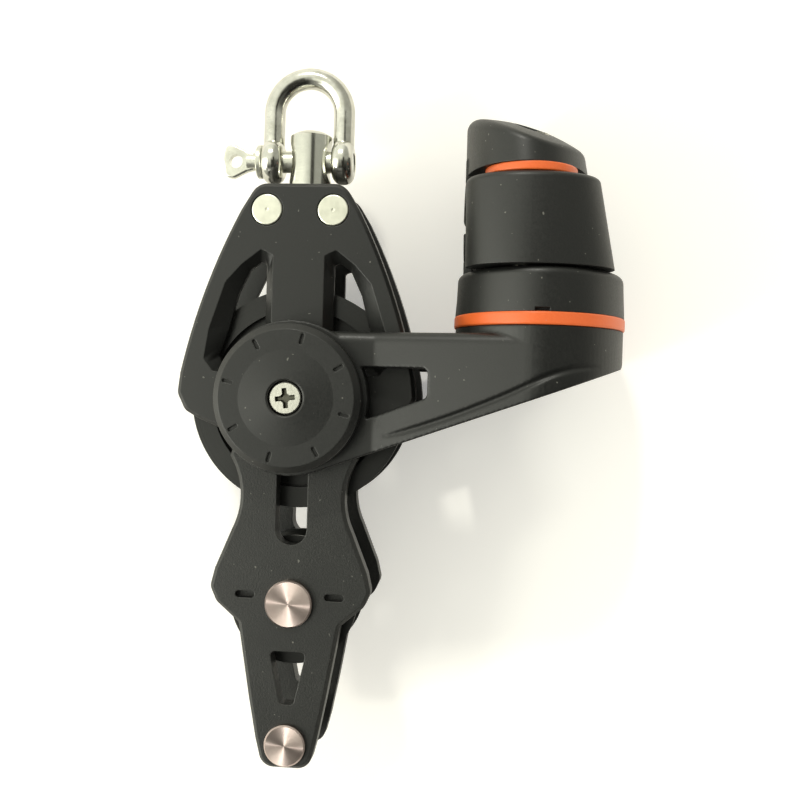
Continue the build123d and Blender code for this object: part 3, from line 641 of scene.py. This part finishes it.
# A dark card round the lens. Metal and satin faces that look at the lens mirror it, as they would a
# person who stands there. Only glossy rays see it.
CARD_Y = -292 * MM
CARD_EDGE = ((-25, -170), (160, -170), (160, 165), (46, 165), (46, 60), (-25, 60))      # in mm
card = bpy.data.objects.new("dark_card", bpy.data.meshes.new("dark_card"))
card.data.from_pydata([(x * MM, CARD_Y, z * MM) for x, z in CARD_EDGE], [],
                      [tuple(range(len(CARD_EDGE)))])
bpy.context.scene.collection.objects.link(card)
material, tree = new_material("Card_Black_Matt")
felt = node(tree, "BsdfDiffuse", {"Color": linear("#2a2a28")})
node(tree, "OutputMaterial", {"Surface": felt.outputs[0]})
card.data.materials.append(material)
card.visible_camera = card.visible_diffuse = False
card.visible_shadow = card.visible_transmission = False


# The room. It is evenly pale for matt surfaces and white to the camera. Glossy surfaces mirror a
# bright window wall low on the left that falls off to the dark right, a paler room above it, and
# a floor that darkens downward. The window is brighter than white, as daylight is indoors.
world = bpy.data.worlds.new("Pale_Room")
bpy.context.scene.world = world
world.use_nodes = True
world.node_tree.nodes.clear()
tree = world.node_tree
light_path = node(tree, "LightPath", {})
way = node(tree, "SeparateXYZ", {"Vector": node(tree, "TexCoord", {}).outputs["Generated"]})
wall = node(tree, "MapRange", {"Value": way.outputs["X"], "From Min": -0.60, "From Max": -0.08,
                               "To Min": 4.0, "To Max": 0.10}, interpolation_type="SMOOTHSTEP")
upper = node(tree, "MapRange", {"Value": way.outputs["X"], "From Min": -0.25, "From Max": 0.45,
                                "To Min": 1.12, "To Max": 0.5}, interpolation_type="SMOOTHSTEP")
lift = node(tree, "MapRange", {"Value": way.outputs["Z"], "From Min": -0.02, "From Max": 0.22})
walls = node(tree, "Mix", {"Factor": lift.outputs[0], "A": wall.outputs[0], "B": upper.outputs[0]})
to_floor = node(tree, "MapRange", {"Value": way.outputs["Z"], "From Min": -0.05, "From Max": -0.55,
                                   "To Min": 1.0, "To Max": 0.12}, interpolation_type="SMOOTHSTEP")
shine = node(tree, "Math", {0: walls.outputs[0], 1: to_floor.outputs[0]}, operation="MULTIPLY")
room = node(tree, "Background", {"Color": linear("#f6f5ee"), "Strength": 0.84})
mirrored = node(tree, "Background", {"Color": linear("#fafbec"), "Strength": shine.outputs[0]})
white = node(tree, "Background", {"Color": linear("#ffffff"), "Strength": 1.0})
glossy = node(tree, "MixShader", {"Fac": light_path.outputs["Is Glossy Ray"], 1: room.outputs[0],
                                  2: mirrored.outputs[0]})
mix = node(tree, "MixShader", {"Fac": light_path.outputs["Is Camera Ray"], 1: glossy.outputs[0],
                               2: white.outputs[0]})
node(tree, "OutputWorld", {"Surface": mix.outputs[0]})


# Camera: a normal lens about 290 mm in front of the hub, off to the cleat's side and turned back
# toward the block.
LENS_FROM_HUB = Vector((55.3, -288.2, 1.9)) * MM
LENS_YAW, LENS_PITCH, LENS_ROLL = 5.59, 89.67, 1.63     # degrees
lens = bpy.data.cameras.new("camera")
lens.sensor_width, lens.lens = 36.0, 46.6
camera = bpy.data.objects.new("camera", lens)
bpy.context.scene.collection.objects.link(camera)
bpy.context.scene.camera = camera
low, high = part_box("main_axle")
hub = (low + high) / 2
camera.matrix_world = (Matrix.Translation(hub + LENS_FROM_HUB)
                       @ Matrix.Rotation(math.radians(LENS_YAW), 4, "Z")
                       @ Matrix.Rotation(math.radians(LENS_PITCH), 4, "X")
                       @ Matrix.Rotation(math.radians(LENS_ROLL), 4, "Z"))
lens.clip_start = 0.01

bpy.context.scene.view_settings.view_transform = "Standard"
